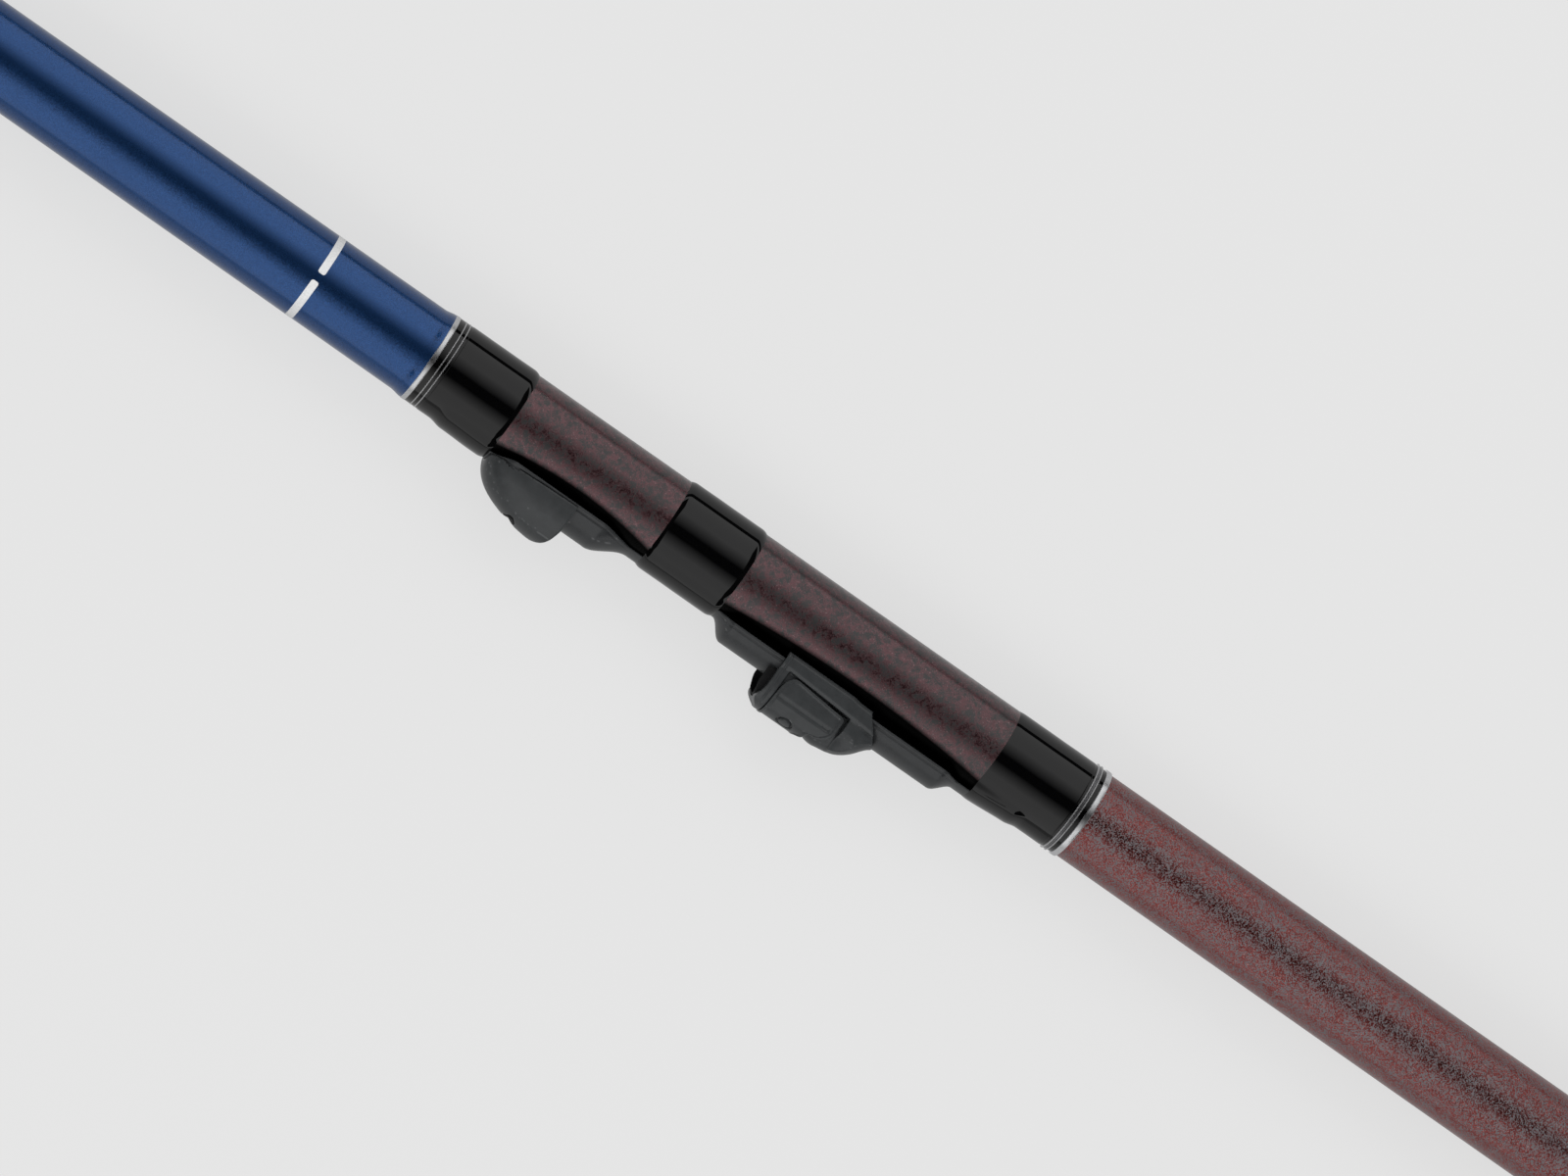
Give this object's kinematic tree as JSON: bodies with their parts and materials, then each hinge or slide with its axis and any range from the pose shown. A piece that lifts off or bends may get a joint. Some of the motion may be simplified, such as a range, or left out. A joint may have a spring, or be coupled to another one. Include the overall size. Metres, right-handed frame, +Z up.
{
  "type": "telescopic spinning rod",
  "caption": "Closed telescopic fishing rod with a plate reel seat, sliding hood with lock lever, line guides and a screw butt cap.",
  "frame": {"origin": "centre of the butt pad's end face, on the rod's axis", "axes": "+X along the rod towards the tip, +Y towards the reel seat's hoods and the line guides, +Z up with the rod lying on its side"},
  "size_m": [0.8837, 0.0399, 0.0218],
  "materials": {
    "butt_paint": "clear-coated maroon flake over carbon, blue metallic ahead of the seat",
    "section_paint": "clear-coated blue metallic",
    "silver_band": "bright silver",
    "accent_thread": "silver thread under epoxy",
    "whipping_gloss": "black thread under clear epoxy",
    "plate_coat": "satin black coated stamping",
    "hood_coat": "satin dark grey coating",
    "liner": "soft black liner",
    "pin_steel": "dark steel",
    "cap_metal": "black anodised",
    "rubber": "matte",
    "guide_frame": "dark plated stamping",
    "guide_ceramic": "polished dark ceramic"
  },
  "bodies": {
    "rod_butt": {"butt_blank": "butt_paint", "thread_socket": "cap_metal", "butt_mouth_band": "silver_band", "rear_silver_ring": "silver_band", "rear_accent_thread": "accent_thread", "rear_whipping": "whipping_gloss", "rear_seat_plate": "plate_coat", "middle_whipping": "whipping_gloss", "front_seat_plate": "plate_coat", "fixed_hood": "hood_coat", "fixed_hood_liner": "liner", "front_whipping": "whipping_gloss", "front_accent_thread": "accent_thread", "front_silver_ring": "silver_band"},
    "sliding_hood_body": {"sliding_hood": "hood_coat", "sliding_hood_liner": "liner", "lever_pin": "pin_steel"},
    "lock_lever_body": {"lock_lever": "hood_coat"},
    "cap_washer_body": {"cap_washer": "rubber"},
    "butt_cap_body": {"butt_cap": "cap_metal", "butt_pad": "rubber", "cap_cushion": "rubber"},
    "section_2": {"section_2_blank": "section_paint", "section_2_stop_winding": "whipping_gloss", "section_2_guide_frame": "guide_frame", "section_2_guide_ring": "guide_ceramic"},
    "section_3": {"section_3_blank": "section_paint", "section_3_stop_winding": "whipping_gloss", "section_3_guide_frame": "guide_frame", "section_3_guide_ring": "guide_ceramic"},
    "section_4": {"section_4_blank": "section_paint", "section_4_stop_winding": "whipping_gloss", "section_4_guide_frame": "guide_frame", "section_4_guide_ring": "guide_ceramic"},
    "section_5": {"section_5_blank": "section_paint", "section_5_stop_winding": "whipping_gloss", "section_5_guide_frame": "guide_frame", "section_5_guide_ring": "guide_ceramic"},
    "tip_section": {"tip_blank": "section_paint", "tip_top_frame": "guide_frame", "tip_top_ring": "guide_ceramic"},
    "lower_float": {"lower_float_frame": "guide_frame", "lower_float_ring": "guide_ceramic"},
    "upper_float": {"upper_float_frame": "guide_frame", "upper_float_ring": "guide_ceramic"}
  },
  "joints": [
    {"name": "sliding_hood_travel", "type": "slide", "parent": "rod_butt", "child": "sliding_hood_body", "axis": [1, 0, 0], "range_m": [-0.0125, 0.0115]},
    {"name": "lock_lever_lift", "type": "hinge", "parent": "sliding_hood_body", "child": "lock_lever_body", "pos_m": [0.2762, 0.0154, 0], "axis": [0, 0, 1], "range_deg": [0, 50]},
    {"name": "cap_washer_travel", "type": "slide", "parent": "rod_butt", "child": "cap_washer_body", "axis": [-1, 0, 0], "range_m": [0, 0.0081]},
    {"name": "butt_cap_turn", "type": "hinge", "parent": "cap_washer_body", "child": "butt_cap_body", "pos_m": [0, 0, 0], "axis": [-1, 0, 0], "range_deg": [0, 1440]},
    {"name": "section_2_slide", "type": "slide", "parent": "rod_butt", "child": "section_2", "axis": [1, 0, 0], "range_m": [0, 0.6956]},
    {"name": "section_3_slide", "type": "slide", "parent": "section_2", "child": "section_3", "axis": [1, 0, 0], "range_m": [0, 0.7219]},
    {"name": "section_4_slide", "type": "slide", "parent": "section_3", "child": "section_4", "axis": [1, 0, 0], "range_m": [0, 0.7472]},
    {"name": "section_5_slide", "type": "slide", "parent": "section_4", "child": "section_5", "axis": [1, 0, 0], "range_m": [0, 0.7665]},
    {"name": "tip_slide", "type": "slide", "parent": "section_5", "child": "tip_section", "axis": [1, 0, 0], "range_m": [0, 0.7848]},
    {"name": "lower_float_slide", "type": "slide", "parent": "tip_section", "child": "lower_float", "axis": [-1, 0, 0], "range_m": [0, 0.5235]},
    {"name": "upper_float_slide", "type": "slide", "parent": "tip_section", "child": "upper_float", "axis": [-1, 0, 0], "range_m": [0, 0.2618]}
  ],
  "couplings": [
    {"joint": "cap_washer_travel", "follows": "butt_cap_turn", "m_per_rad": 0.00031831},
    {"joint": "lower_float_slide", "follows": "tip_slide", "ratio": 0.66667},
    {"joint": "upper_float_slide", "follows": "tip_slide", "ratio": 0.33333}
  ]
}
